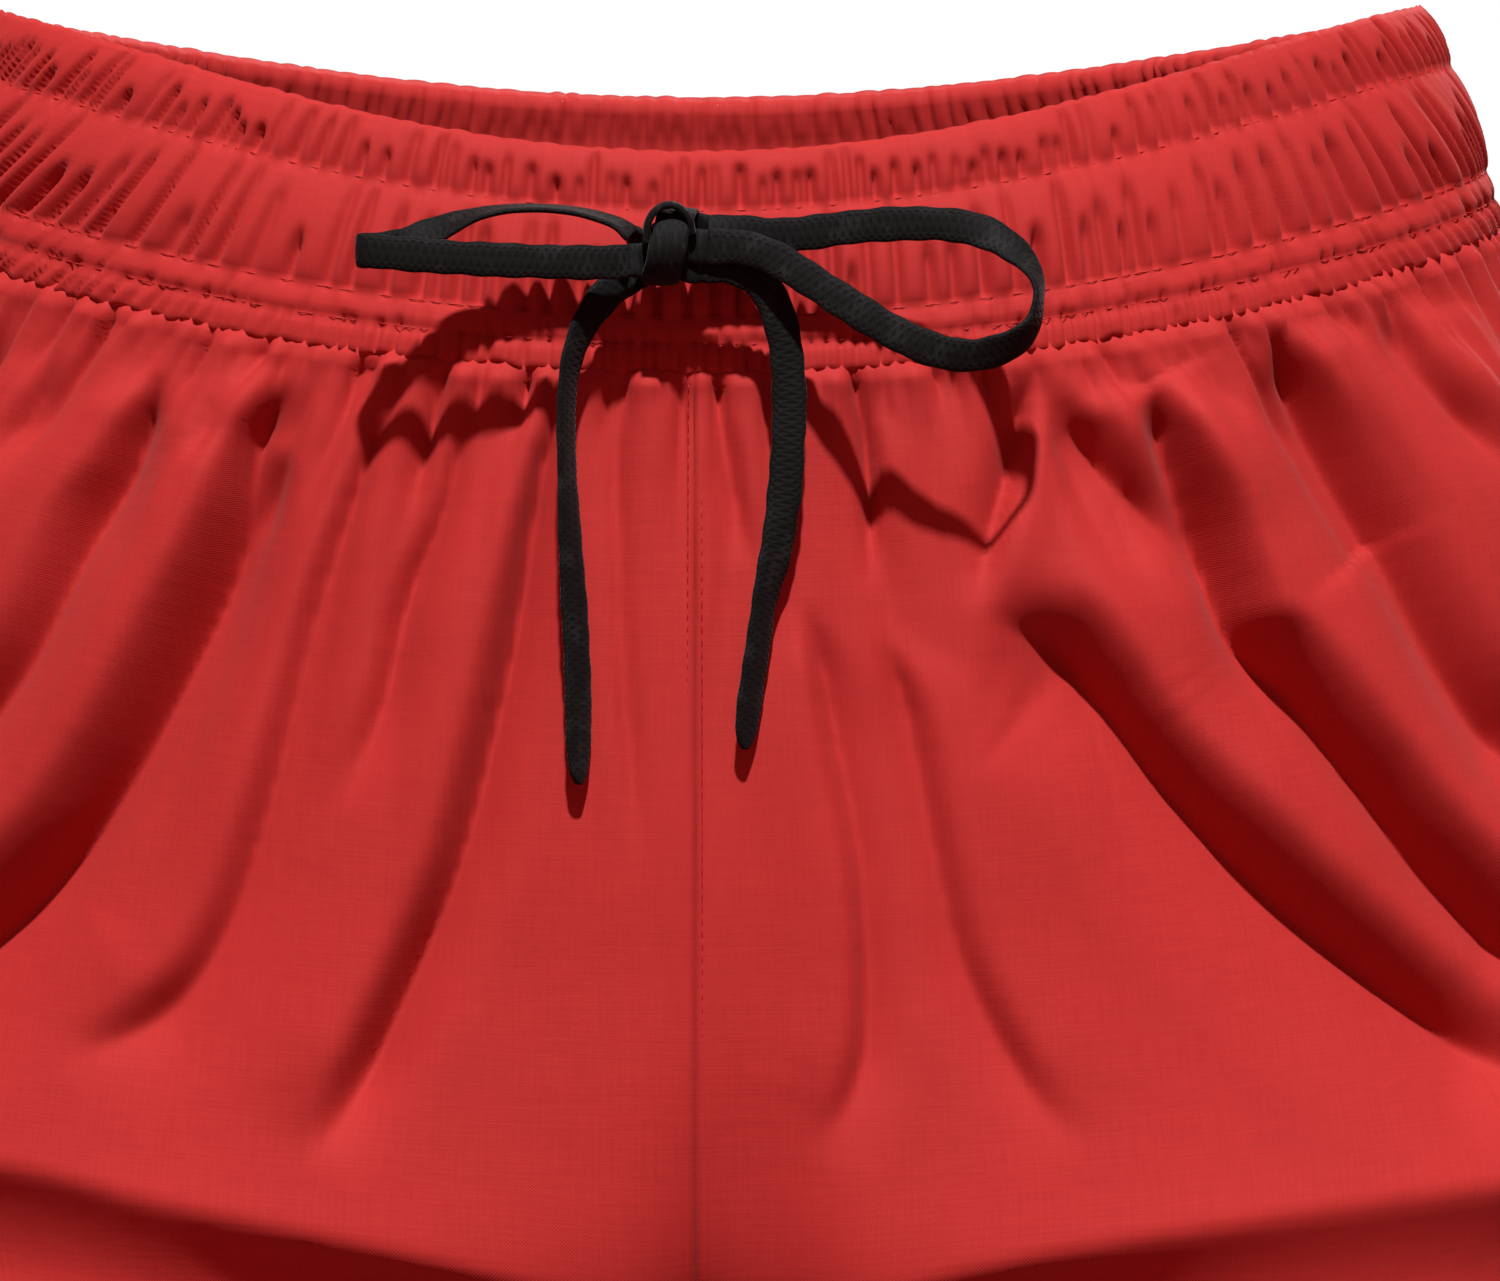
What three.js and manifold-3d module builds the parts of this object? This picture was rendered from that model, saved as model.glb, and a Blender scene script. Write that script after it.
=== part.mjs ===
// Gym shorts with an elastic waistband and a drawstring tied in a bow, filled out as when worn.
// Four panels (two fronts, two backs) meet at the centre seams, the side seams and the inseams.
// A gathered casing with three stitched channels is sewn to their top edge.
//
// Millimetres, +Z up. The front faces -Y, so the wearer's left is on +X.
// The origin is the centre of the waist opening, level with the top edge at the centre front.

import * as THREE from 'three';
import { mergeVertices } from 'three/addons/utils/BufferGeometryUtils.js';
import Module from 'manifold-3d';

const wasm = await Module();
wasm.setup();

// ---- Driving dimensions ----

const SEAM_GAP = 0.3;
const CLOTH = 1.2;                 // wall of the panels

const WAIST_HALF_WIDTH = 157;      // at the top edge
const WAIST_HALF_DEPTH = 108;
const BAND_HEIGHT = 46.5;
const BAND_SPREAD_X = 18;          // how much wider the casing is at its lower edge
const BAND_SPREAD_Y = 8;
const BAND_FLARE = 0.8;            // the sides flare soonest just below the top edge
const BAND_SWELL = 3.9;            // how far the widest channel stands out

// Heights of the casing's two edges round the waist, as a mean and the swings of its cosine waves.
// Both edges dip at the front and rise at the sides.
const TOP_EDGE = [26, -10.2, -12.6, -2.1, -1.1];
const SEAM_EDGE = [-22.25, -12.5, -11.75];

const CROTCH_Y = 8;
const CROTCH_Z = -290;
const HEM_Z = -412;

const CORD_WIDTH = 7;
const CORD_THICKNESS = 1.4;

// Mesh density
const FRONT_COLUMNS = 24;
const FRONT_ROWS = 26;
const BACK_COLUMNS = 16;
const BACK_ROWS = 18;
const BAND_COLUMNS = 48;

// ---- Colours ----

const red = { color: 0xb92f2b, roughness: 0.85, metalness: 0 };
const darkRed = { color: 0xa82824, roughness: 0.85, metalness: 0 };
const black = { color: 0x1a1c1c, roughness: 0.7, metalness: 0 };

// ---- Small maths ----

const clamp01 = (value) => Math.min(1, Math.max(0, value));
const ease = (value) => clamp01(value) ** 2 * (3 - 2 * clamp01(value));
const radians = (degrees) => THREE.MathUtils.degToRad(degrees);

// Smooth curve through the values that one size takes at the stations. It never overshoots them.
function along(stations, key, v) {
  const last = stations.length - 1;
  const rate = (k) => (stations[k + 1][key] - stations[k][key]) / (stations[k + 1].v - stations[k].v);
  const slope = (k) => {
    if (k === 0) return rate(0);
    if (k === last) return rate(last - 1);
    const [before, after] = [rate(k - 1), rate(k)];
    if (before * after <= 0) return 0;
    const [steepest, mean] = [3 * Math.min(Math.abs(before), Math.abs(after)), (before + after) / 2];
    return Math.sign(before) * Math.min(Math.abs(mean), steepest);
  };
  let i = 0;
  while (i < last - 1 && v > stations[i + 1].v) i += 1;
  const span = stations[i + 1].v - stations[i].v;
  const t = (v - stations[i].v) / span;
  const [start, end] = [stations[i][key], stations[i + 1][key]];
  return (2 * t ** 3 - 3 * t ** 2 + 1) * start + (t ** 3 - 2 * t ** 2 + t) * span * slope(i)
    + (3 * t ** 2 - 2 * t ** 3) * end + (t ** 3 - t ** 2) * span * slope(i + 1);
}

// ---- Closed solids ----

function meshOf(name, geometry, finish) {
  const mesh = new THREE.Mesh(geometry, new THREE.MeshStandardMaterial(finish));
  mesh.name = name;
  return mesh;
}

function signedVolume(points, faces) {
  const cross = new THREE.Vector3();
  return faces.reduce((sum, [a, b, c]) => (
    sum + points[a].dot(cross.crossVectors(points[b], points[c])) / 6), 0);
}

// A closed wall between two grids of points, with a rim along its four edges.
function wallBetween(columns, rows, outerPoint, innerPoint) {
  const points = [];
  const faces = [];
  const width = columns + 1;
  const layer = width * (rows + 1);
  for (const pointAt of [outerPoint, innerPoint]) {
    for (let row = 0; row <= rows; row += 1) {
      for (let column = 0; column <= columns; column += 1) {
        points.push(pointAt(column / columns, row / rows));
      }
    }
  }
  const quad = (a, b, c, d) => faces.push([a, b, c], [a, c, d]);
  const at = (column, row) => row * width + column;
  for (let row = 0; row < rows; row += 1) {
    for (let column = 0; column < columns; column += 1) {
      const corners = [at(column, row), at(column, row + 1), at(column + 1, row + 1), at(column + 1, row)];
      quad(...corners);
      quad(...corners.reverse().map((corner) => corner + layer));
    }
  }
  const rim = (a, b) => quad(b, a, a + layer, b + layer);
  for (let column = 0; column < columns; column += 1) {
    rim(at(column + 1, 0), at(column, 0));
    rim(at(column, rows), at(column + 1, rows));
  }
  for (let row = 0; row < rows; row += 1) {
    rim(at(0, row), at(0, row + 1));
    rim(at(columns, row + 1), at(columns, row));
  }
  if (signedVolume(points, faces) < 0) faces.forEach((face) => face.reverse());
  const geometry = new THREE.BufferGeometry().setFromPoints(points);
  geometry.setIndex(faces.flat());
  geometry.computeVertexNormals();
  return geometry;
}

// ---- Waistband ----

// Height of an edge; the angle is 0 at the centre front and 180 degrees at the centre back.
function edgeHeight(edge, angle) {
  return edge.reduce((sum, swing, wave) => sum + swing * Math.cos(wave * angle), 0);
}

// Sections of the casing at the centre front: distance below the top edge, outer and inner face.
// The faces pinch together at each stitch row and swell over the elastic between them.
const BAND_SECTION = [
  { down: 0, out: 0.2, in: -1.2 },
  { down: 2.5, out: 1.8, in: -2.0 },
  { down: 7, out: 2.3, in: -2.3 },
  { down: 12.6, out: 0.4, in: -1.4 },
  { down: 17.5, out: 3.0, in: -2.4 },
  { down: 24, out: BAND_SWELL, in: -2.8 },
  { down: 30, out: 2.7, in: -2.3 },
  { down: 34.6, out: 0.4, in: -1.4 },
  { down: 37.4, out: 1.6, in: -1.9 },
  { down: 40.2, out: 0.9, in: -1.5 },
  { down: 43.4, out: 1.6, in: -1.9 },
  { down: BAND_HEIGHT, out: 0.3, in: -1.3 },
];

function bandPoint(angle, down, offset) {
  const spread = down / BAND_HEIGHT;
  const halfWidth = WAIST_HALF_WIDTH + BAND_SPREAD_X * spread ** BAND_FLARE + offset;
  const halfDepth = WAIST_HALF_DEPTH + BAND_SPREAD_Y * spread + offset;
  const height = THREE.MathUtils.lerp(
    edgeHeight(TOP_EDGE, angle), edgeHeight(SEAM_EDGE, angle), spread);
  return new THREE.Vector3(halfWidth * Math.sin(angle), -halfDepth * Math.cos(angle), height);
}

// One strip, joined into a ring at the centre back, where the ends meet.
function waistband() {
  const halfGap = SEAM_GAP / 2 / WAIST_HALF_DEPTH;
  const angleAt = (u) => THREE.MathUtils.lerp(-Math.PI + halfGap, Math.PI - halfGap, u);
  const rows = BAND_SECTION.length - 1;
  const faceAt = (face) => (u, v) => {
    const section = BAND_SECTION[Math.round(v * rows)];
    return bandPoint(angleAt(u), section.down, section[face]);
  };
  const geometry = wallBetween(BAND_COLUMNS, rows, faceAt('out'), faceAt('in'));
  return meshOf('waistband', geometry, darkRed);
}

// ---- Panels ----

// Each station is one cross grain of a panel, from the gathered top edge (v = 0) to the hem (v = 1).
// y and z are its inner end, on the centre seam and then on the inseam; side and sideZ are its end
// on the side seam. lead is the direction in which it leaves the inner end: 0 degrees straight
// across the belly or seat, 90 degrees straight round the leg. reach and arrive are its fullness.
const ROUND = 0.5523;
const FRONT_STATIONS = [
  { v: 0, x: 0, y: 116, z: -46.8, side: 175, sideZ: -10.8, lead: 0, reach: 175 * ROUND, arrive: 116 * ROUND },
  { v: 0.17, x: 0, y: 121, z: -105, side: 197, sideZ: -78, lead: 0, reach: 110, arrive: 67 },
  { v: 0.36, x: 0, y: 124, z: -166, side: 208, sideZ: -148, lead: 0, reach: 116, arrive: 71 },
  { v: 0.5, x: 0, y: 118, z: -214, side: 213, sideZ: -200, lead: 6, reach: 122, arrive: 80 },
  { v: 0.6, x: 0, y: 88, z: -252, side: 216, sideZ: -236, lead: 34, reach: 135, arrive: 103 },
  { v: 0.68, x: 0, y: 40, z: -272, side: 218, sideZ: -263, lead: 66, reach: 150, arrive: 132 },
  { v: 0.76, x: 0, y: -CROTCH_Y, z: CROTCH_Z, side: 219, sideZ: -290, lead: 90, reach: 168, arrive: 158 },
  { v: 0.87, x: 7, y: -CROTCH_Y, z: -344, side: 222, sideZ: -348, lead: 90, reach: 156, arrive: 152 },
  { v: 1, x: 15, y: -CROTCH_Y, z: HEM_Z + 2, side: 225, sideZ: HEM_Z, lead: 90, reach: 146, arrive: 146 },
];
const BACK_STATIONS = [
  { v: 0, x: 0, y: 116, z: -21.8, side: 175, sideZ: -10.8, lead: 0, reach: 175 * ROUND, arrive: 116 * ROUND },
  { v: 0.17, x: 0, y: 134, z: -86, side: 197, sideZ: -78, lead: 0, reach: 112, arrive: 76 },
  { v: 0.36, x: 0, y: 147, z: -156, side: 208, sideZ: -148, lead: 0, reach: 120, arrive: 84 },
  { v: 0.5, x: 0, y: 143, z: -208, side: 213, sideZ: -200, lead: 6, reach: 126, arrive: 94 },
  { v: 0.6, x: 0, y: 114, z: -247, side: 216, sideZ: -236, lead: 30, reach: 138, arrive: 114 },
  { v: 0.68, x: 0, y: 62, z: -270, side: 218, sideZ: -263, lead: 62, reach: 150, arrive: 138 },
  { v: 0.76, x: 0, y: CROTCH_Y, z: CROTCH_Z, side: 219, sideZ: -290, lead: 90, reach: 174, arrive: 164 },
  { v: 0.87, x: 7, y: CROTCH_Y, z: -344, side: 222, sideZ: -348, lead: 90, reach: 166, arrive: 162 },
  { v: 1, x: 15, y: CROTCH_Y, z: HEM_Z + 2, side: 225, sideZ: HEM_Z, lead: 90, reach: 158, arrive: 158 },
];

// A row's height between its ends follows the dip of the waistband's lower edge near the top,
// and a plain easing lower down.
const FRONT_DIP = 0.347;
const BACK_DIP = -1.136;
const DIP_FADE = 0.3;              // part of the panel's length over which the dip dies out

function rowHeight(angle, dip, v) {
  const share = dip * (1 - ease(v / DIP_FADE));
  return share * Math.cos(angle) + (1 - share) * Math.cos(angle) ** 2;
}

// Smooth point of the half panel on +X. facing is -1 for the front and 1 for the back.
function calmPoint(panel, u, v) {
  const size = (key) => along(panel.stations, key, v);
  const half = SEAM_GAP / 2;
  const lead = radians(size('lead'));
  const start = [size('x') + half, size('y') * panel.facing];
  start[1] += half * panel.facing * Math.sin(lead);
  const end = [size('side'), half * panel.facing];
  const reach = size('reach');
  const second = [start[0] + reach * Math.cos(lead), start[1] + reach * Math.sin(lead) * panel.facing];
  const third = [end[0], end[1] + size('arrive') * panel.facing];
  const bend = new THREE.CubicBezierCurve(
    new THREE.Vector2(...start), new THREE.Vector2(...second),
    new THREE.Vector2(...third), new THREE.Vector2(...end));
  const plan = bend.getPoint(u);
  const rise = rowHeight(u * Math.PI / 2, panel.dip, v);
  return new THREE.Vector3(plan.x, plan.y, THREE.MathUtils.lerp(size('sideZ'), size('z'), rise));
}

// A fold is a crease along a line of x, z points. On its high side the cloth climbs steeply to a
// crest and eases away; on its low side it comes up gently. high is 1 where the crest lies to the
// left of someone walking down the line, seen from the front.
const FRONT_FOLDS = [
  { line: [[-92, -60], [-108, -102], [-145, -153], [-175, -178]], high: -1, steep: 15, depth: 12 },
  { line: [[-119, -60], [-130, -79], [-148, -106], [-180, -142]], high: -1, steep: 14, depth: 9 },
  { line: [[-33, -70], [-43, -122], [-50, -148], [-60, -172], [-76, -207]], high: -1, steep: 9, depth: 6 },
  { line: [[28, -104], [34, -150], [35, -184], [28, -201], [10, -208]], high: -1, steep: 9, depth: 5 },
  { line: [[56, -94], [76, -102], [101, -132], [130, -166], [172, -198]], high: 1, steep: 14, depth: 10 },
  { line: [[97, -52], [108, -75], [119, -105], [140, -130], [178, -170]], high: 1, steep: 14, depth: 12 },
  { line: [[121, -42], [127, -57], [140, -75], [154, -94], [186, -130]], high: 1, steep: 15, depth: 10 },
  { line: [[-30, -262], [-66, -252], [-112, -240], [-168, -230]], high: -1, steep: 20, depth: 10 },
  { line: [[36, -262], [72, -252], [118, -240], [172, -232]], high: 1, steep: 20, depth: 10 },
];
const BACK_FOLDS = [
  { line: [[-78, -50], [-96, -96], [-128, -140], [-170, -172]], high: -1, steep: 15, depth: 9 },
  { line: [[-30, -60], [-40, -110], [-58, -160], [-80, -196]], high: -1, steep: 13, depth: 6 },
  { line: [[34, -56], [42, -112], [56, -158], [86, -200]], high: 1, steep: 13, depth: 6 },
  { line: [[84, -46], [104, -92], [130, -132], [172, -168]], high: 1, steep: 15, depth: 9 },
  { line: [[-46, -258], [-80, -246], [-120, -236], [-170, -230]], high: -1, steep: 20, depth: 9 },
  { line: [[44, -258], [80, -248], [122, -238], [170, -232]], high: 1, steep: 20, depth: 9 },
];
const CREST_SHARE = 0.4;           // crest height over crease depth
const FOLD_FADE = 0.22;            // part of a fold's length over which each end fades
const LOW_SIDE_REACH = 1.8;        // how far each side eases away, over the steep width
const CREST_REACH = 1.8;

// Distance to a fold's line, positive on its high side, and how far along it that is (0 to 1).
function nearestOnLine(line, x, z) {
  const point = new THREE.Vector2(x, z);
  let best = { distance: Infinity };
  for (let i = 0; i < line.length - 1; i += 1) {
    const start = new THREE.Vector2(...line[i]);
    const run = new THREE.Vector2(...line[i + 1]).sub(start);
    const offset = point.clone().sub(start);
    const t = clamp01(offset.dot(run) / run.lengthSq());
    const distance = offset.distanceTo(run.clone().multiplyScalar(t));
    if (distance < Math.abs(best.distance)) {
      const side = Math.sign(run.x * offset.y - run.y * offset.x) || 1;
      best = { distance: distance * side, share: (i + t) / (line.length - 1) };
    }
  }
  return best;
}

function foldHeight(fold, x, z) {
  const { distance, share } = nearestOnLine(fold.line, x, z);
  const away = distance * fold.high;
  const crest = fold.depth * CREST_SHARE;
  const fade = ease(share / FOLD_FADE) * ease((1 - share) / FOLD_FADE);
  const lowSide = -fold.depth * (1 - clamp01(-away / (fold.steep * LOW_SIDE_REACH))) ** 2;
  if (away < 0) return fade * lowSide;
  const climb = (fold.depth + crest) * Math.sin(clamp01(away / fold.steep) * Math.PI / 2);
  if (away < fold.steep) return fade * (climb - fold.depth);
  return crest * fade * (1 - ease((away - fold.steep) / (fold.steep * CREST_REACH)));
}

const FLUTE_DEPTH = 3.5;           // soft flutes of the legs at the hem
const FLUTES = 3;
const FLUTES_START = 0.7;          // down the panel

// Parts of a panel over which its folds come in below the casing, beside the centre seam and
// beside the side seam, and where they die out above the crotch.
const TOP_FADE = 0.1;
const CENTRE_FADE = 0.05;
const SIDE_FADE = 0.16;
const FOLDS_END = 0.6;
const END_FADE = 0.12;

// How far the folds lift the cloth off its calm surface. They die out at the sewn edges.
function creaseHeight(panel, u, v, calm, side) {
  const fromTop = ease(v / TOP_FADE);
  const fromSide = ease((1 - u) / SIDE_FADE);
  const aboveCrotch = 1 - ease((v - FOLDS_END) / END_FADE);
  const creases = panel.folds.reduce(
    (sum, fold) => sum + foldHeight(fold, calm.x * side, calm.z), 0);
  return creases * fromTop * fromSide * aboveCrotch;
}

function fluteDepth(u, v) {
  return FLUTE_DEPTH * Math.cos(2 * Math.PI * FLUTES * u) * ease((v - FLUTES_START) / (1 - FLUTES_START));
}

function panelFaces(panel, side) {
  const step = 1e-3;
  const outward = (u, v) => {
    const [u0, u1] = [Math.max(0, u - step), Math.min(1, u + step)];
    const [v0, v1] = [Math.max(0, v - step), Math.min(1, v + step)];
    const across = calmPoint(panel, u1, v).sub(calmPoint(panel, u0, v));
    const down = calmPoint(panel, u, v1).sub(calmPoint(panel, u, v0));
    return across.cross(down).multiplyScalar(panel.facing).normalize();
  };
  const faceAt = (depth) => (u, v) => {
    const calm = calmPoint(panel, u, v);
    const normal = outward(u, v);
    const lift = normal.clone().setX(normal.x * ease(u / CENTRE_FADE)).normalize();
    const point = calm.clone()
      .addScaledVector(normal, -depth - fluteDepth(u, v))
      .addScaledVector(lift, creaseHeight(panel, u, v, calm, side));
    point.x *= side;
    return point;
  };
  return [faceAt(0), faceAt(CLOTH)];
}

const FRONT = { facing: -1, stations: FRONT_STATIONS, folds: FRONT_FOLDS, dip: FRONT_DIP };
const BACK = { facing: 1, stations: BACK_STATIONS, folds: BACK_FOLDS, dip: BACK_DIP };

function panels() {
  const pieces = [
    { name: 'front_left', panel: FRONT, side: 1, columns: FRONT_COLUMNS, rows: FRONT_ROWS },
    { name: 'front_right', panel: FRONT, side: -1, columns: FRONT_COLUMNS, rows: FRONT_ROWS },
    { name: 'back_left', panel: BACK, side: 1, columns: BACK_COLUMNS, rows: BACK_ROWS },
    { name: 'back_right', panel: BACK, side: -1, columns: BACK_COLUMNS, rows: BACK_ROWS },
  ];
  return pieces.map(({ name, panel, side, columns, rows }) => (
    meshOf(name, wallBetween(columns, rows, ...panelFaces(panel, side)), red)));
}

// ---- Drawstring ----

// Each route lists x, y, z and the roll of the flat cord. Roll is measured about the run from the
// guide direction: 0 lays the cord's width along the guide, 90 square to it.
const TOWARDS_WEARER = new THREE.Vector3(0, 1, 0);
const UPWARDS = new THREE.Vector3(0, 0, 1);

const LOOP_RIGHT = { steps: 24, guide: UPWARDS, route: [
  [-12.9, -126.5, -18.2, 60], [-16.4, -126.5, -15.8, 72], [-23.6, -126.2, -13.7, 78],
  [-31.8, -126, -12.9, 80], [-40, -126, -13.3, 76], [-47, -126.2, -15, 62],
  [-54, -126.8, -18, 34], [-60, -128, -20.6, 10], [-66.2, -130, -21.6, 0],
  [-68.4, -132.2, -21.7, 0], [-66.2, -134.2, -21.9, 0], [-60, -134.8, -22.4, 0],
  [-50, -134.9, -23.2, 0], [-40, -134.5, -23.7, 0], [-27.7, -133.2, -24.1, 0],
  [-18, -131.2, -24.1, 0], [-13, -129.2, -23.6, 0],
] };
const LOOP_LEFT = { steps: 28, guide: TOWARDS_WEARER, route: [
  [2.6, -124.6, -17.4, 70], [9.2, -124.6, -17.6, 84], [15.4, -124.8, -18.1, 90],
  [21.5, -125.2, -18, 90], [31.8, -126, -16.7, 90], [42, -126.8, -16, 90],
  [52.3, -127.8, -16.3, 86], [60, -129, -18.2, 74], [66, -130.6, -22.2, 52],
  [69.4, -132.4, -27, 24], [70, -134, -32, 14], [68.6, -135.4, -37.2, 30],
  [64.5, -136.4, -41, 52], [57, -137, -43.2, 72], [49, -136.8, -42.2, 84],
  [40, -136, -38.2, 90], [30, -134.6, -32, 90], [21.5, -132.6, -26.4, 90],
  [15.5, -131.2, -22.8, 90], [9.5, -130.4, -21, 90], [2.8, -129.6, -20.8, 90],
] };
const TAIL_RIGHT = { steps: 14, guide: TOWARDS_WEARER, route: [
  [-12.8, -122.6, -26.4, 84], [-16, -123, -28.4, 80], [-19.4, -124, -32, 66],
  [-23, -125.2, -38, 44], [-25.4, -125.8, -46, 30], [-26.1, -126, -56, 27],
  [-25.9, -126, -66, 28], [-25.4, -126, -78, 36], [-24.7, -126, -90, 44],
  [-24, -126.2, -102, 46], [-23.6, -126.4, -114, 44], [-23.6, -126.8, -130.4, 40],
] };
const TAIL_LEFT = { steps: 14, guide: TOWARDS_WEARER, route: [
  [1.6, -127.6, -24.6, 88], [7, -127.6, -24.8, 88], [12.4, -127.2, -27.2, 86],
  [16.4, -126.6, -32.6, 84], [18.6, -126, -41.4, 86], [19.3, -125.8, -52, 90],
  [19, -126, -62, 90], [18.2, -126, -72, 86], [16.6, -126, -83, 66],
  [14.4, -126, -92.7, 44], [12.9, -126.2, -103, 42], [11.4, -126.4, -113, 44],
  [10.1, -126.8, -123.2, 46],
] };

// A flat cord's centre line, which also turns the section the way the cord lies.
class FlatCordPath extends THREE.CatmullRomCurve3 {
  constructor({ route, guide }) {
    super(route.map(([x, y, z]) => new THREE.Vector3(x, y, z)), false, 'centripetal');
    this.rolls = route.map((point) => point[3]);
    this.guide = guide;
  }

  rollAt(share) {
    const place = this.getUtoTmapping(share) * (this.rolls.length - 1);
    const i = Math.min(this.rolls.length - 2, Math.floor(place));
    return radians(THREE.MathUtils.lerp(this.rolls[i], this.rolls[i + 1], place - i));
  }

  computeFrenetFrames(steps) {
    const frames = { tangents: [], normals: [], binormals: [] };
    for (let step = 0; step <= steps; step += 1) {
      const tangent = this.getTangentAt(step / steps);
      const flat = this.guide.clone().addScaledVector(tangent, -this.guide.dot(tangent)).normalize();
      const across = flat.applyAxisAngle(tangent, this.rollAt(step / steps));
      frames.tangents.push(tangent);
      frames.binormals.push(across);
      frames.normals.push(across.clone().cross(tangent));
    }
    return frames;
  }
}

function flatCordSection() {
  const [halfThick, halfWide, corner] = [CORD_THICKNESS / 2, CORD_WIDTH / 2, 0.45];
  return new THREE.Shape([
    [-halfThick, -halfWide + corner], [-halfThick + corner, -halfWide],
    [halfThick - corner, -halfWide], [halfThick, -halfWide + corner],
    [halfThick, halfWide - corner], [halfThick - corner, halfWide],
    [-halfThick + corner, halfWide], [-halfThick, halfWide - corner],
  ].map((point) => new THREE.Vector2(...point)));
}

function cord(name, cordRoute) {
  const geometry = new THREE.ExtrudeGeometry(flatCordSection(), {
    steps: cordRoute.steps, extrudePath: new FlatCordPath(cordRoute), bevelEnabled: false });
  return meshOf(name, geometry, black);
}

// ---- Knot ----

const KNOT = { centre: [-5.2, -126.8, -20.6], halfSizes: [7, 6.2, 7.4] };
const KNOT_TOP = { centre: [-4.6, -129, -15], halfSizes: [4.2, 3.6, 3.2] };
const BUTTONHOLE_X = 7;            // the cord comes out of the casing on each side of the seam
const BUTTONHOLE_Z = -22;
const STUB_CLEARANCE = 0.4;        // between the cord's ends and the casing
const STUB_STRAIGHT = 1.5;         // the last stretch runs square to the casing
const STUB_START = [2.5, 2];       // sideways and inwards from the middle of the knot

function solidOf(geometry) {
  const bare = geometry.clone();
  bare.deleteAttribute('normal');
  bare.deleteAttribute('uv');
  const merged = mergeVertices(bare, 1e-4);
  return new wasm.Manifold(new wasm.Mesh({
    numProp: 3,
    vertProperties: new Float32Array(merged.attributes.position.array),
    triVerts: new Uint32Array(merged.index.array),
  }));
}

function lump({ centre, halfSizes }) {
  return new THREE.SphereGeometry(1, 16, 10).scale(...halfSizes).translate(...centre);
}

// The short stretch from the knot back to a buttonhole.
function stub(x) {
  const casing = bandPoint(x / WAIST_HALF_WIDTH, -BUTTONHOLE_Z, BAND_SWELL).y - STUB_CLEARANCE;
  const [sideways, inwards] = STUB_START;
  const route = [
    [KNOT.centre[0] + Math.sign(x) * sideways, KNOT.centre[1] + inwards, BUTTONHOLE_Z, 90],
    [x, casing - STUB_STRAIGHT, BUTTONHOLE_Z, 90],
    [x, casing, BUTTONHOLE_Z, 90],
  ];
  const path = new FlatCordPath({ route, guide: UPWARDS });
  return new THREE.ExtrudeGeometry(flatCordSection(), { steps: 4, extrudePath: path, bevelEnabled: false });
}

function knot() {
  const pieces = [lump(KNOT), lump(KNOT_TOP), stub(-BUTTONHOLE_X), stub(BUTTONHOLE_X)];
  const joined = pieces.map(solidOf).reduce((whole, piece) => whole.add(piece)).getMesh();
  const geometry = new THREE.BufferGeometry();
  geometry.setAttribute('position', new THREE.BufferAttribute(joined.vertProperties, joined.numProp));
  geometry.setIndex(new THREE.BufferAttribute(joined.triVerts, 1));
  geometry.computeVertexNormals();
  return meshOf('drawstring_knot', geometry, black);
}

// ---- The garment ----

const shorts = new THREE.Group();
shorts.add(
  waistband(),
  ...panels(),
  knot(),
  cord('drawstring_loop_left', LOOP_LEFT),
  cord('drawstring_loop_right', LOOP_RIGHT),
  cord('drawstring_tail_left', TAIL_LEFT),
  cord('drawstring_tail_right', TAIL_RIGHT),
);

export default shorts;
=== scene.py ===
"""Red gym shorts, filled out as worn: a gathered elastic waistband and a black drawstring bow."""
from math import radians

import bmesh
import bpy
import numpy as np
from mathutils import Matrix, Vector


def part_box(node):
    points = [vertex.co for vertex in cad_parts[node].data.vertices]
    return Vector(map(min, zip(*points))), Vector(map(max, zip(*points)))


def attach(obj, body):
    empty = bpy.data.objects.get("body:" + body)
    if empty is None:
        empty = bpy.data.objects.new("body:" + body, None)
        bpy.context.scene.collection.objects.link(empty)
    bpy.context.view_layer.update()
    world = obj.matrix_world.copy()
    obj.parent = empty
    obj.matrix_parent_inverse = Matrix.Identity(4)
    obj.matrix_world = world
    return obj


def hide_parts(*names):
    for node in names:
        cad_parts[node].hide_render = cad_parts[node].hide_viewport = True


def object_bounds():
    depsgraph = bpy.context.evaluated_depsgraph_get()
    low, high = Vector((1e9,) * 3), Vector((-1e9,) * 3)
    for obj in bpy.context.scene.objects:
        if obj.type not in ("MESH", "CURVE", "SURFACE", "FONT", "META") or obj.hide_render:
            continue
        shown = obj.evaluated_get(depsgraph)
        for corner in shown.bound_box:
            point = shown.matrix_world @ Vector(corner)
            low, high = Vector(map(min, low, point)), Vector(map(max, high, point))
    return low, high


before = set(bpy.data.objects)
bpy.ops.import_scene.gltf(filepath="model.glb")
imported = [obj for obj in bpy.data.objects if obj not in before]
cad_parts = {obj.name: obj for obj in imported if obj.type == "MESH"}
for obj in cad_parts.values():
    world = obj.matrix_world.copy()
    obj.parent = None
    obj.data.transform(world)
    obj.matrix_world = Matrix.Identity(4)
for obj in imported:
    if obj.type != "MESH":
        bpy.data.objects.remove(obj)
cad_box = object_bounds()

MM = 0.001


# ---- Camera ----
# Level with the belly and straight in front, far enough off for a long lens to look nearly flat.
# The frame takes in the waist and the upper fronts, a little to the wearer's left of the centre.
FRAME_WIDTH = 307.5 * MM
FRAME_CENTRE_X = 11.3 * MM
FRAME_CENTRE_Z = -101 * MM
CAMERA_DISTANCE = 1.8
SENSOR = 36

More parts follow.
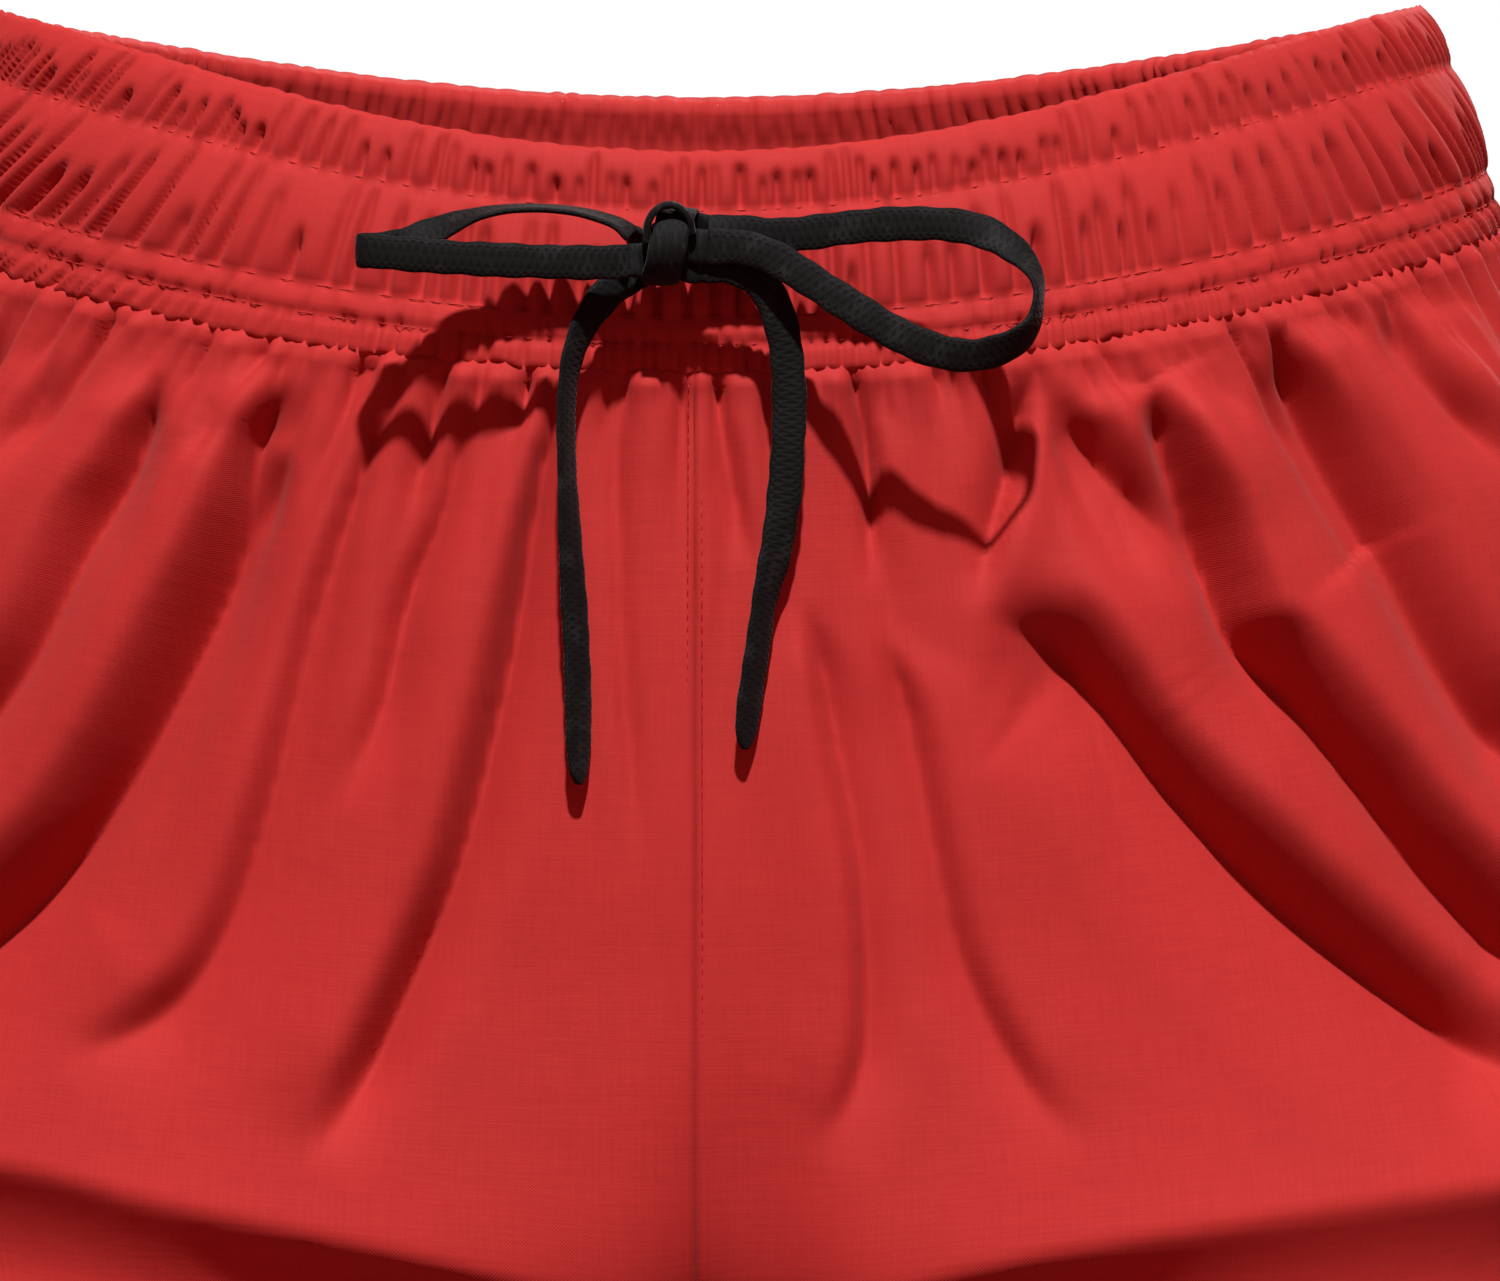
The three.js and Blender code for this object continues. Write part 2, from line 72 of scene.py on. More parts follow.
front_of_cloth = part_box("waistband")[0][1]
camera = bpy.data.objects.new("camera", bpy.data.cameras.new("camera"))
bpy.context.scene.collection.objects.link(camera)
camera.data.sensor_width = SENSOR
camera.data.lens = SENSOR * CAMERA_DISTANCE / FRAME_WIDTH
camera.location = (FRAME_CENTRE_X, front_of_cloth - CAMERA_DISTANCE, FRAME_CENTRE_Z)
camera.rotation_euler = (radians(90), 0, 0)
bpy.context.scene.camera = camera


# ---- Drawstring: loops and tails ----
# A flat braided polyester cord, 7 mm wide, threaded through the casing and tied in a bow. Each of
# its free stretches is swept along its route and turned about it, so it shows its face or its edge.
CORD_WIDTH = 7 * MM
CORD_THICKNESS = 1.4 * MM
CORD_STEP = 0.55 * MM
CORD_AROUND = 20
STRAND_PITCH = 1.7 * MM
TIP_LENGTH = 11 * MM
CORD_COLOUR = (0.0010, 0.0012, 0.0012, 1)
CORD_WORN = (0.014, 0.016, 0.016, 1)

UPWARDS = Vector((0, 0, 1))
TOWARDS_WEARER = Vector((0, 1, 0))

# Each point is x, y, z in millimetres and the roll of the cord's width about its run, in degrees.
LOOP_RIGHT = [
    (-12.9, -126.5, -18.2, 60), (-16.4, -126.5, -15.8, 72), (-23.6, -126.2, -13.7, 78),
    (-31.8, -126, -12.9, 80), (-40, -126, -13.3, 76), (-47, -126.2, -15, 62),
    (-54, -126.8, -18, 34), (-60, -128, -20.6, 10), (-66.2, -130, -21.6, 0),
    (-68.4, -132.2, -21.7, 0), (-66.2, -134.2, -21.9, 0), (-60, -134.8, -22.4, 0),
    (-50, -134.9, -23.2, 0), (-40, -134.5, -23.7, 0), (-27.7, -133.2, -24.1, 0),
    (-18, -131.2, -24.1, 0), (-13, -129.2, -23.6, 0)]
LOOP_LEFT = [
    (2.6, -124.6, -17.4, 70), (9.2, -124.6, -17.6, 84), (15.4, -124.8, -18.1, 90),
    (21.5, -125.2, -18, 90), (31.8, -126, -16.7, 90), (42, -126.8, -16, 90),
    (52.3, -127.8, -16.3, 86), (60, -129, -18.2, 74), (66, -130.6, -22.2, 52),
    (69.4, -132.4, -27, 24), (70, -134, -32, 14), (68.6, -135.4, -37.2, 30),
    (64.5, -136.4, -41, 52), (57, -137, -43.2, 72), (49, -136.8, -42.2, 84),
    (40, -136, -38.2, 90), (30, -134.6, -32, 90), (21.5, -132.6, -26.4, 90),
    (15.5, -131.2, -22.8, 90), (9.5, -130.4, -21, 90), (2.8, -129.6, -20.8, 90)]
TAIL_RIGHT = [
    (-12.8, -122.6, -26.4, 84), (-16, -123, -28.4, 80), (-19.4, -124, -32, 66),
    (-23, -125.2, -38, 44), (-25.4, -125.8, -46, 30), (-26.1, -126, -56, 27),
    (-25.9, -126, -66, 28), (-25.4, -126, -78, 36), (-24.7, -126, -90, 44),
    (-24, -126.2, -102, 46), (-23.6, -126.4, -114, 44), (-23.6, -126.8, -130.4, 40)]
TAIL_LEFT = [
    (1.6, -127.6, -24.6, 88), (7, -127.6, -24.8, 88), (12.4, -127.2, -27.2, 86),
    (16.4, -126.6, -32.6, 84), (18.6, -126, -41.4, 86), (19.3, -125.8, -52, 90),
    (19, -126, -62, 90), (18.2, -126, -72, 86), (16.6, -126, -83, 66),
    (14.4, -126, -92.7, 44), (12.9, -126.2, -103, 42), (11.4, -126.4, -113, 44),
    (10.1, -126.8, -123.2, 46)]


class Dye:
    """One value on its way through a material, as a socket that can be reckoned with."""

    def __init__(self, tree, socket=None):
        self.tree = tree
        self.socket = socket

    def node(self, kind, settings=None, values=None, out=0):
        """Make any node: its type, its settings, and the values or links of its sockets."""
        made = self.tree.nodes.new("ShaderNode" + kind)
        for name, setting in (settings or {}).items():
            setattr(made, name, setting)
        for name, value in (values or {}).items():
            if isinstance(value, Dye):
                self.tree.links.new(value.socket, made.inputs[name])
            else:
                made.inputs[name].default_value = value
        return Dye(self.tree, made.outputs[out])

    def maths(self, operation, *values):
        return self.node("Math", {"operation": operation}, dict(enumerate(values)))

    def __add__(self, other):
        return self.maths("ADD", self, other)

    def __sub__(self, other):
        return self.maths("SUBTRACT", self, other)

    def __rsub__(self, other):
        return self.maths("SUBTRACT", other, self)

    def __mul__(self, other):
        return self.maths("MULTIPLY", self, other)

    __radd__ = __add__
    __rmul__ = __mul__

    def sine(self):
        return self.maths("SINE", self)

    def within(self, low, high):
        """0 below low, 1 above high and a smooth rise between."""
        return self.node("MapRange", {"interpolation_type": "SMOOTHSTEP"}, {
            "Value": self, "From Min": low, "From Max": high})

    def between(self, first, second):
        """A colour, first where this is 0 and second where it is 1."""
        return self.node("Mix", {"data_type": "RGBA"}, {0: self, 6: first, 7: second}, out=2)

    def split(self):
        """The x and y of a vector."""
        parts = self.tree.nodes.new("ShaderNodeSeparateXYZ")
        self.tree.links.new(self.socket, parts.inputs[0])
        return Dye(self.tree, parts.outputs[0]), Dye(self.tree, parts.outputs[1])


def new_material(name, finish):
    """An empty surface with the constant sockets of its finish set; gives its start and shader."""
    material = bpy.data.materials.new(name)
    material.use_nodes = True
    shader = material.node_tree.nodes["Principled BSDF"]
    for socket, value in finish.items():
        shader.inputs[socket].default_value = value
    return material, Dye(material.node_tree), shader


def feed(material, shader, **links):
    """Link each value to the shader's socket of that name."""
    for socket, value in links.items():
        material.node_tree.links.new(value.socket, shader.inputs[socket.replace("_", " ")])


def braided_cord(name, along_uv):
    """Black flat braid: slanting strands that cross, dusty and a little worn on the high ones."""
    material, start, shader = new_material(name, {
        "Specular IOR Level": 0.2, "Sheen Weight": 0.1, "Sheen Roughness": 0.4,
        "Sheen Tint": (0.6, 0.65, 0.66, 1)})
    if along_uv:
        run, across = start.node("UVMap", {"uv_map": "cloth"}).split()
    else:
        run, across = start.node("TexCoord", out=3).split()
    strand = 2 * np.pi / STRAND_PITCH
    one_way = (run * strand + across * strand).sine()
    other_way = (run * strand - across * strand).sine()
    braid = one_way.maths("MAXIMUM", one_way, other_way)
    place = start.node("TexCoord", out=3)
    fuzz = start.node("TexNoise", None, {"Vector": place, "Scale": 1600, "Detail": 3})
    wear = start.node("TexNoise", None, {"Vector": place, "Scale": 210, "Detail": 4})
    worn = wear.within(0.45, 0.75)
    height = braid * 0.7 + fuzz * 0.6
    bump = start.node("Bump", None, {"Strength": 0.35, "Distance": 0.2 * MM, "Height": height})
    shade = (braid * 0.25 + worn * 0.55).within(0.1, 1.0)
    feed(material, shader, Base_Color=shade.between(CORD_COLOUR, CORD_WORN),
         Roughness=0.62 + fuzz * 0.2, Normal=bump)
    return material


def curve_through(points, steps):
    """A smooth curve through points, with so many steps between each two."""
    padded = np.vstack([2 * points[0] - points[1], points, 2 * points[-1] - points[-2]])
    t = np.linspace(0, 1, steps, endpoint=False)[:, None]
    parts = [0.5 * (2 * b + (c - a) * t + (2 * a - 5 * b + 4 * c - d) * t**2
                    + (3 * b - a - 3 * c + d) * t**3)
             for a, b, c, d in zip(padded, padded[1:], padded[2:], padded[3:])]
    return np.vstack([*parts, points[-1:]])


def distance_gone(points):
    """How far along a line each of its points lies."""
    return np.concatenate([[0], np.cumsum(np.linalg.norm(np.diff(points, axis=0), axis=1))])


def even_path(route, step):
    """A smooth curve through a route's points, as x, y, z and roll at even steps, in metres."""
    fine = curve_through(np.array(route) * (MM, MM, MM, 1), steps=24)
    gone = distance_gone(fine[:, :3])
    even = np.linspace(0, gone[-1], max(8, round(gone[-1] / step)))
    return np.stack([np.interp(even, gone, column) for column in fine.T], axis=1), gone[-1]


def unit(vectors):
    return vectors / np.linalg.norm(vectors, axis=-1, keepdims=True)


def shaped_grid(name, columns, rows, place, size):
    """A grid mesh whose points go where place(u, v) says, with its UV map in metres."""
    grid = bmesh.new()
    grid.loops.layers.uv.new("cloth")
    bmesh.ops.create_grid(grid, x_segments=columns, y_segments=rows, size=1, calc_uvs=True)
    mesh = bpy.data.meshes.new(name)
    grid.to_mesh(mesh)
    grid.free()
    flat = np.empty(len(mesh.vertices) * 3)
    mesh.vertices.foreach_get("co", flat)
    u, v = (flat.reshape(-1, 3)[:, :2].T + 1) / 2
    mesh.vertices.foreach_set("co", place(u, v).ravel())
    uvs = np.empty(len(mesh.loops) * 2)
    mesh.uv_layers["cloth"].data.foreach_get("uv", uvs)
    mesh.uv_layers["cloth"].data.foreach_set("uv", (uvs.reshape(-1, 2) * size).ravel())
    return mesh


def add_piece(name, mesh, material):
    """Put a mesh in the scene as a smooth object of one material."""
    mesh.materials.clear()
    mesh.materials.append(material)
    mesh.shade_smooth()
    piece = bpy.data.objects.new(name, mesh)
    bpy.context.scene.collection.objects.link(piece)
    return piece


def close_up(mesh):
    """Merge the edges that meet, fill open ends and turn the faces outwards."""
    body = bmesh.new()
    body.from_mesh(mesh)
    bmesh.ops.remove_doubles(body, verts=body.verts, dist=0.01 * MM)
    bmesh.ops.holes_fill(body, edges=[edge for edge in body.edges if edge.is_boundary])
    bmesh.ops.recalc_face_normals(body, faces=body.faces)
    body.to_mesh(mesh)
    body.free()
    return mesh


def flat_cord(name, route, guide, tip=False, width=CORD_WIDTH, thickness=CORD_THICKNESS,
              around=CORD_AROUND):
    """Sweep the cord's rounded flat section along its route. The free end narrows to a tip."""
    path, length = even_path(route, CORD_STEP)
    run = unit(np.gradient(path[:, :3], axis=0))
    flat = np.array(guide) - run * (run @ np.array(guide))[:, None]
    roll = np.radians(path[:, 3])[:, None]
    across = unit(flat) * np.cos(roll) + np.cross(run, unit(flat)) * np.sin(roll)
    face = np.cross(across, run)

    def place(u, v):
        k = u * (len(path) - 1)
        at = lambda values: np.stack([np.interp(k, np.arange(len(path)), c) for c in values.T], 1)
        angle = 2 * np.pi * v
        squared = lambda value: np.sign(value) * np.abs(value) ** 0.55
        from_end = (1 - u) * length
        narrow = np.sqrt(np.clip(1 - (1 - np.clip(from_end / TIP_LENGTH, 0, 1)) ** 2.2, 0.02, 1))
        wide = squared(np.sin(angle)) * width / 2 * (narrow if tip else 1)
        ripple = 1 + 0.03 * np.sin(u * length / MM * 0.9) + 0.02 * np.sin(u * length / MM * 0.37)
        cup = 0.12 * (wide / (width / 2)) ** 2 * thickness
        thick = squared(np.cos(angle)) * thickness / 2 + cup
        return at(path[:, :3]) + at(across) * (wide * ripple)[:, None] + at(face) * thick[:, None]

    mesh = shaped_grid(name, len(path), around, place, (length, 2 * width))
    return close_up(mesh), path[:, :3], length


braid = braided_cord("black_braid", along_uv=True)
for name, route, guide, tip in (
        ("drawstring_loop_right", LOOP_RIGHT, UPWARDS, False),
        ("drawstring_loop_left", LOOP_LEFT, TOWARDS_WEARER, False),
        ("drawstring_tail_right", TAIL_RIGHT, TOWARDS_WEARER, True),
        ("drawstring_tail_left", TAIL_LEFT, TOWARDS_WEARER, True)):
    mesh, path, length = flat_cord(name, route, guide, tip)
    piece = add_piece("braid_" + name.split("_", 1)[1], mesh, braid)
    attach(piece, "root")
    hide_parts(name)


# ---- Drawstring: knot ----
# The middle of the bow: one turn of the same cord drawn round the loops, with a hump where it
# crosses over the top. Two short stretches go back from it to the buttonholes in the casing.
KNOT = Vector((-5.2, -126.8, -20.6))
KNOT_TURN = [
    (2.6, 4.4, 5.6, 0), (2.2, 0.6, 7.2, 0), (1.2, -3.6, 5.6, 0), (0.2, -5.9, 1.4, 0),
    (-0.8, -5.6, -3.2, 0), (-1.6, -2.6, -6.6, 0), (-1.6, 1.4, -7.2, 0), (-1, 5, -4.6, 0)]
KNOT_HUMP = [
    (-4.6, -3.2, 0.6, 4), (-4.5, -4, 4, 4), (-3, -4.3, 6.8, 2), (-0.6, -4.4, 8.2, 0),
    (2, -4.3, 7.8, 0), (4, -4, 5.6, -4), (4.8, -3.2, 2.4, -4)]
ACROSS_WEARER = Vector((1, 0, 0))
BUTTONHOLE_X = 7
BUTTONHOLE_Z = -22
STUB_END_Y = -116.2


def knot_strands():
    """Every strand of the knot: route, guide and width."""
    about_knot = lambda points: [(*(KNOT + Vector(point[:3])), point[3]) for point in points]
    strands = [(about_knot(KNOT_TURN), ACROSS_WEARER, 7.6 * MM),
               (about_knot(KNOT_HUMP), TOWARDS_WEARER, 4.4 * MM)]
    for route, guide in ((LOOP_RIGHT, UPWARDS), (LOOP_RIGHT[::-1], UPWARDS),
                         (LOOP_LEFT, TOWARDS_WEARER), (LOOP_LEFT[::-1], TOWARDS_WEARER),
                         (TAIL_RIGHT, TOWARDS_WEARER), (TAIL_LEFT, TOWARDS_WEARER)):
        start = np.array(route[0])
        back = start - np.array(route[1])
        inner = start + back / np.linalg.norm(back[:3]) * 3
        heart = np.array((*KNOT, start[3]))
        inner[3] = start[3]
        strands.append(([tuple(start), tuple(inner), tuple(heart)], guide, CORD_WIDTH * 0.97))
    for side in (-1, 1):
        x = side * BUTTONHOLE_X
        strands.append(([(KNOT.x + side * 2.5, KNOT.y + 2, BUTTONHOLE_Z, 90),
                         (x, STUB_END_Y - 1.5, BUTTONHOLE_Z, 90),
                         (x, STUB_END_Y, BUTTONHOLE_Z, 90)], UPWARDS, CORD_WIDTH))
    return strands


knot_body = bmesh.new()
for count, (route, guide, width) in enumerate(knot_strands()):
    mesh, _, _ = flat_cord("strand", route, guide, width=width, thickness=CORD_THICKNESS * 1.1)
    knot_body.from_mesh(mesh)
bmesh.ops.create_uvsphere(knot_body, u_segments=24, v_segments=14, radius=1, matrix=(
    Matrix.Translation(KNOT * MM) @ Matrix.Diagonal((5.6 * MM, 4.9 * MM, 5.8 * MM, 1))))
knot_mesh = bpy.data.meshes.new("knot")
knot_body.to_mesh(knot_mesh)
knot_body.free()
knot = add_piece("braid_knot", knot_mesh, braided_cord("black_braid_knot", along_uv=False))
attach(knot, "root")
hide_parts("drawstring_knot")


# ---- Waistband ----
# One strip of the cloth folded over flat elastic, joined at the centre back and stitched into three
# channels. The elastic gathers it, so each channel swells and puckers between its stitch rows.
WAIST_HALF_WIDTH = 157
WAIST_HALF_DEPTH = 108
BAND_HEIGHT = 46.5
BAND_SPREAD_X = 18
BAND_SPREAD_Y = 8
BAND_FLARE = 0.8
TOP_EDGE = (26, -10.2, -12.6, -2.1, -1.1)
SEAM_EDGE = (-22.25, -12.5, -11.75)
STITCH_ROWS = (0, 12.6, 34.6, BAND_HEIGHT)
EXTRA_ROW = 40.2
BAND_COLUMNS = 1450
BAND_ROWS = 64
INSIDE_SHARE = 0.28
OUTSIDE_DEEPEST = -1.9
INSIDE_NEAREST = -2.3
CLOTH_COLOUR = (0.42, 0.006, 0.004, 1)
CLOTH_PALE = (0.49, 0.012, 0.009, 1)
THREAD_PITCH = 0.62 * MM


def ease(value):
    """0 below 0, 1 above 1 and a smooth rise between."""
    value = np.clip(value, 0, 1)
    return value * value * (3 - 2 * value)


def woven_cloth(name):
    """Fine plain weave of red polyester: threads both ways, a few thicker ones, a soft sheen."""
    material, start, shader = new_material(name, {
        "Specular IOR Level": 0.6, "Sheen Weight": 0.05, "Sheen Roughness": 0.5,
        "Sheen Tint": (1, 0.6, 0.55, 1)})
    uv = start.node("UVMap", {"uv_map": "cloth"})
    run, across = uv.split()
    thread = 2 * np.pi / THREAD_PITCH
    weave = (run * thread).sine() * (across * thread).sine()
    warp = start.node("Mapping", None, {"Vector": uv, "Scale": (1500, 60, 1)})
    weft = start.node("Mapping", None, {"Vector": uv, "Scale": (60, 1500, 1)})
    slubs = (start.node("TexNoise", None, {"Vector": warp, "Scale": 1, "Detail": 2})
             + start.node("TexNoise", None, {"Vector": weft, "Scale": 1, "Detail": 2}))
    crumple = start.node("TexNoise", None, {
        "Vector": uv, "Scale": 120, "Detail": 4, "Roughness": 0.6})
    fine = start.node("Bump", None, {
        "Strength": 0.35, "Distance": 0.12 * MM, "Height": weave * 0.5 + slubs * 0.9})
    bump = start.node("Bump", None, {
        "Strength": 0.3, "Distance": 0.5 * MM, "Height": crumple, "Normal": fine})
    patchy = start.node("TexNoise", None, {"Vector": uv, "Scale": 18, "Detail": 3})
    shade = (slubs * 0.5 + patchy * 0.5).within(0.45, 1.05)
    feed(material, shader, Base_Color=shade.between(CLOTH_COLOUR, CLOTH_PALE),
         Roughness=0.76 + patchy * 0.14, Normal=bump)
    return material


def edge_height(edge, angle):
    """Height of one edge of the casing; the angle is 0 at the centre front."""
    return sum(swing * np.cos(wave * angle) for wave, swing in enumerate(edge))


def band_point(angle, down, out):
    """A point of the casing, down below its top edge and out from its middle, in metres."""
    spread = down / BAND_HEIGHT
    half_width = WAIST_HALF_WIDTH + BAND_SPREAD_X * np.clip(spread, 0, 2) ** BAND_FLARE + out
    half_depth = WAIST_HALF_DEPTH + BAND_SPREAD_Y * spread + out
    top = edge_height(TOP_EDGE, angle)
    height = top + (edge_height(SEAM_EDGE, angle) - top) * spread
    return np.stack([half_width * np.sin(angle), -half_depth * np.cos(angle), height], axis=1) * MM


def ruffled(across, seed, spacing, tall):
    """Rounded gathers side by side with a sharp valley between each two, 0 to 1 times tall."""
    rng = np.random.default_rng(seed)
    count = int(np.ptp(across) / spacing[0]) + 4
    edges = across.min() - spacing[1] + np.cumsum(rng.uniform(*spacing, count))
    heights = rng.uniform(*tall, count)
    index = np.clip(np.searchsorted(edges, across) - 1, 0, count - 2)
    middle = (edges[index] + edges[index + 1]) / 2
    half = (edges[index + 1] - edges[index]) / 2
    return heights[index] * np.clip(1 - ((across - middle) / half) ** 2, 0, 1)


def pinches(across, down, seed, spacing, width, reach, deepest=(0.3, 1), widening=0):
    """Narrow valleys at uneven distances. reach(share) gives how a valley's depth runs with down,
    where share is a random number of its own."""
    rng = np.random.default_rng(seed)
    count = int(np.ptp(across) / spacing[0]) + 6
    centres = across.min() - 2 * spacing[1] + np.cumsum(rng.uniform(*spacing, count))
    widths = rng.uniform(*width, count)
    depths = rng.uniform(*deepest, count)
    shares = rng.uniform(0, 1, count)
    nearest = np.searchsorted(centres, across)
    depth = np.zeros_like(across)
    for k in (nearest - 1, nearest):
        k = np.clip(k, 0, count - 1)
        wide = widths[k] + widening * np.maximum(down, 0)
        away = np.abs(across - centres[k]) / wide
        depth = np.maximum(depth, depths[k] * np.exp(-away ** 1.6) * reach(shares[k], down))
    return depth


def band_length(angle):
    """Arc from the centre front along the casing, in millimetres."""
    steps = np.linspace(-np.pi, np.pi, 721)
    line = band_point(steps, np.full(721, 20.0), 0)[:, :2] / MM
    gone = distance_gone(line)
    return np.interp(angle, steps, gone - gone[360])


def band_lean(angle):
    """How far the gathers run outwards for each millimetre down, more so on the wearer's right."""
    side = np.abs(np.sin(angle))
    return np.where(angle > 0, 0.8 * side**5, -1.2 * side**2.4)


CHANNELS = (
    {"swell": 1.7, "depth": 4.4, "spacing": (2.6, 5.8), "width": (0.7, 1.2), "seed": 11},
    {"swell": 2.5, "depth": 5.4, "spacing": (3.0, 7.0), "width": (0.8, 1.4), "seed": 12},
    {"swell": 1.2, "depth": 2.6, "spacing": (1.6, 3.3), "width": (0.5, 0.8), "seed": 13})


BROAD_WAVE = 0.5         # height of the wide uneven waves and of the fine ribs in a channel
RIB_HEIGHT = 0.28
EXTRA_ROW_DENT = 1.0


def band_swell(angle, down, seed_shift=0):
    """How far the casing stands out between its stitch rows."""
    along = band_length(angle) - band_lean(angle) * down
    out = np.zeros_like(down)
    for channel, top, bottom in zip(CHANNELS, STITCH_ROWS, STITCH_ROWS[1:]):
        share = (down - top) / (bottom - top)
        inside = (share >= 0) & (share <= 1)
        share = np.clip(share, 0, 1)
        arch = (1 - (2 * share**1.2 - 1) ** 2) ** 0.6
        runs = lambda own, at: ease((share - 0.6 * own + 0.12) / 0.3) * (0.55 + 0.45 * share)
        valley = pinches(along, down, channel["seed"] + seed_shift, channel["spacing"],
                         channel["width"], runs, deepest=(0.5, 1))
        broad = ruffled(along, channel["seed"] + 40 + seed_shift, (5, 11), (0.2, 1.0)) - 0.5
        ribs = ruffled(along, channel["seed"] + 80 + seed_shift, (1.3, 2.2), (0.3, 1.0)) - 0.4
        folds = BROAD_WAVE * broad * arch + RIB_HEIGHT * ribs
        folds -= channel["depth"] * valley * (0.3 + 0.7 * arch)
        out = np.where(inside, 0.3 + channel["swell"] * arch + folds, out)
    return out - EXTRA_ROW_DENT * np.exp(-((down - EXTRA_ROW) / 1.1) ** 2)


INSIDE_LAYER = 2.2       # how far the inner cloth lies inside the ring's middle line
INSIDE_SWELL = 0.7       # its swell over that of the outside
JOIN_DENT = 0.8


def band_place(u, v):
    """Round the ring with u; v goes up the inside, over the top edge and down the outside."""
    angle = (2 * u - 1) * np.pi
    inner = v < INSIDE_SHARE
    share = np.where(inner, 1 - v / INSIDE_SHARE, (v - INSIDE_SHARE) / (1 - INSIDE_SHARE))
    down = share * BAND_HEIGHT
    join = np.exp(-((np.abs(angle) - np.pi) * WAIST_HALF_DEPTH / 1.6) ** 2)
    outside = np.maximum(band_swell(angle, down) - JOIN_DENT * join, OUTSIDE_DEEPEST)
    inner_swell = INSIDE_SWELL * band_swell(angle, down, seed_shift=70)
    inside = np.minimum(-INSIDE_LAYER - inner_swell, INSIDE_NEAREST)
    crest = ease(down / 1.6)
    lip = np.where(inner, -1.6, 0.4)
    offset = np.where(inner, inside, outside) * crest + lip * (1 - crest)
    offset = np.where((v < 0.001) | (v > 0.999), -0.6, offset)
    along = band_length(angle)
    ragged = 0.5 * ruffled(along, 5, (3.6, 7.0), (0.2, 1.0)) - 0.3
    heads = ruffled(along, 6, (5, 11), (0.2, 1.0)) - 0.4
    place = band_point(angle, down, offset)
    place[:, 2] += (ragged * (1 - ease(down / 5)) + 1.3 * heads * ease((down - 41) / 5)) * MM
    return place


red_cloth = woven_cloth("red_weave")
ring_length = (band_length(np.array([np.pi])) - band_length(np.array([-np.pi])))[0] * MM
band_mesh = close_up(shaped_grid("casing", BAND_COLUMNS, BAND_ROWS, band_place,
                                 (ring_length * 1.3, 2 * BAND_HEIGHT * MM)))
casing = add_piece("cloth_casing", band_mesh, red_cloth)
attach(casing, "root")
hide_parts("waistband")


# ---- Panels ----
# Two fronts and two backs of the same light woven cloth, gathered into the casing and hanging in
# deep folds from it. They are sewn at the centre seams, side seams and inseams, and hemmed.
CLOTH = 0.7 * MM
ROUND = 0.5523
CROTCH_Y = 8
CROTCH_Z = -290
HEM_Z = -412

# Sections from the gathered top edge to the hem: where each starts on the centre seam or inseam
# (x, y, z), where it ends on the side seam, how far it turns round the leg and how full it is.
STATION_KEYS = ("v", "x", "y", "z", "side", "side_z", "lead", "reach", "arrive")
FRONT_STATIONS = (
    (0, 0, 116, -46.8, 175, -10.8, 0, 175 * ROUND, 116 * ROUND),
    (0.17, 0, 121, -105, 197, -78, 0, 110, 67),
    (0.36, 0, 124, -166, 208, -148, 0, 116, 71),
    (0.5, 0, 118, -214, 213, -200, 6, 122, 80),
    (0.6, 0, 88, -252, 216, -236, 34, 135, 103),
    (0.68, 0, 40, -272, 218, -263, 66, 150, 132),
    (0.76, 0, -CROTCH_Y, CROTCH_Z, 219, -290, 90, 168, 158),
    (0.87, 7, -CROTCH_Y, -344, 222, -348, 90, 156, 152),
    (1, 15, -CROTCH_Y, HEM_Z + 2, 225, HEM_Z, 90, 146, 146))
BACK_STATIONS = (
    (0, 0, 116, -21.8, 175, -10.8, 0, 175 * ROUND, 116 * ROUND),
    (0.17, 0, 134, -86, 197, -78, 0, 112, 76),
    (0.36, 0, 147, -156, 208, -148, 0, 120, 84),
    (0.5, 0, 143, -208, 213, -200, 6, 126, 94),
    (0.6, 0, 114, -247, 216, -236, 30, 138, 114),
    (0.68, 0, 62, -270, 218, -263, 62, 150, 138),
    (0.76, 0, CROTCH_Y, CROTCH_Z, 219, -290, 90, 174, 164),
    (0.87, 7, CROTCH_Y, -344, 222, -348, 90, 166, 162),
    (1, 15, CROTCH_Y, HEM_Z + 2, 225, HEM_Z, 90, 158, 158))

